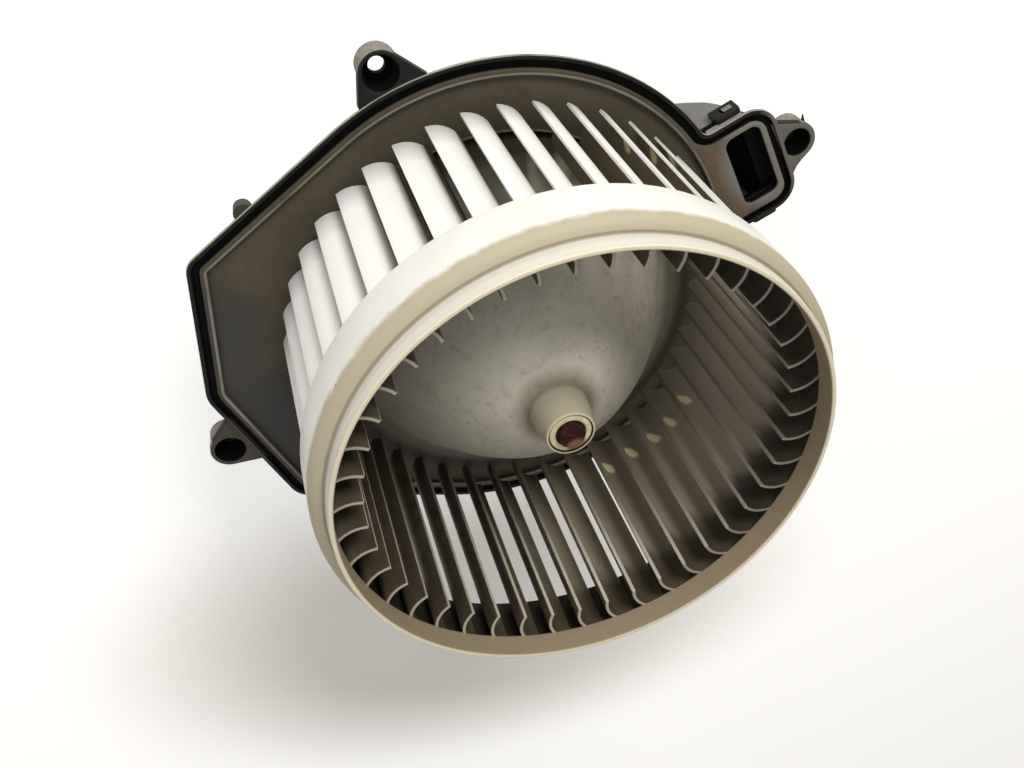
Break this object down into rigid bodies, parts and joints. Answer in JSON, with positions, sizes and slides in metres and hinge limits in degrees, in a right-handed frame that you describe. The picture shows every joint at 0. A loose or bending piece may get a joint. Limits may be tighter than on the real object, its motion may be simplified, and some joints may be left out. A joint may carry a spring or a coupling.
{
  "type": "blower fan",
  "caption": "Squirrel-cage blower wheel with forward-curved blades on an electric motor held in a moulded flange with screw ears and a cooling-air inlet.",
  "frame": {"origin": "centre of the flat foot of the rear cover, on the motor shaft's axis", "axes": "+Z along the shaft towards the wheel's open mouth, +X towards the ear that is uppermost in the picture's outline"},
  "size_m": [0.168, 0.2005, 0.1475],
  "materials": {
    "wheel": "dusty white polypropylene",
    "flange": "black filled moulding, dusty",
    "cover": "dark grey moulding",
    "steel": "zinc plated drawn steel",
    "shaft": "rusty ground steel",
    "bush": "dull moulded insert",
    "core": "stacked laminations",
    "copper": "enamelled copper",
    "ferrite": "sintered ferrite",
    "spring": "spring steel",
    "sinter": "oiled sintered bronze",
    "card": "phenolic board",
    "carbon": "copper graphite",
    "epoxy": "dipped epoxy",
    "nylon": "natural nylon",
    "tin": "tinned brass",
    "rubber": "black rubber"
  },
  "bodies": {
    "housing": {"mounting_flange": "flange", "rear_cover": "cover", "motor_can": "steel", "end_bell": "steel", "magnet_upper": "ferrite", "magnet_lower": "ferrite", "magnet_spring_left": "spring", "magnet_spring_right": "spring", "front_bearing": "sinter", "rear_bearing": "sinter", "front_bearing_retainer": "spring", "rear_bearing_retainer": "spring", "brush_card": "card", "brush_positive": "carbon", "brush_negative": "carbon", "brush_spring_positive": "spring", "brush_spring_negative": "spring", "choke_positive": "copper", "choke_negative": "copper", "capacitor": "epoxy", "terminal_positive": "tin", "terminal_negative": "tin", "front_isolator": "rubber", "rear_isolator": "rubber"},
    "rotor": {"fan_wheel": "wheel", "hub_insert": "bush", "motor_shaft": "shaft", "armature_core": "core", "armature_winding": "copper", "commutator": "copper", "front_thrust_washer": "nylon", "rear_thrust_washer": "nylon"}
  },
  "joints": [
    {"name": "rotor_spin", "type": "hinge", "parent": "housing", "child": "rotor", "pos_m": [0, 0, 0.0579], "axis": [0, 0, 1], "continuous": true}
  ]
}
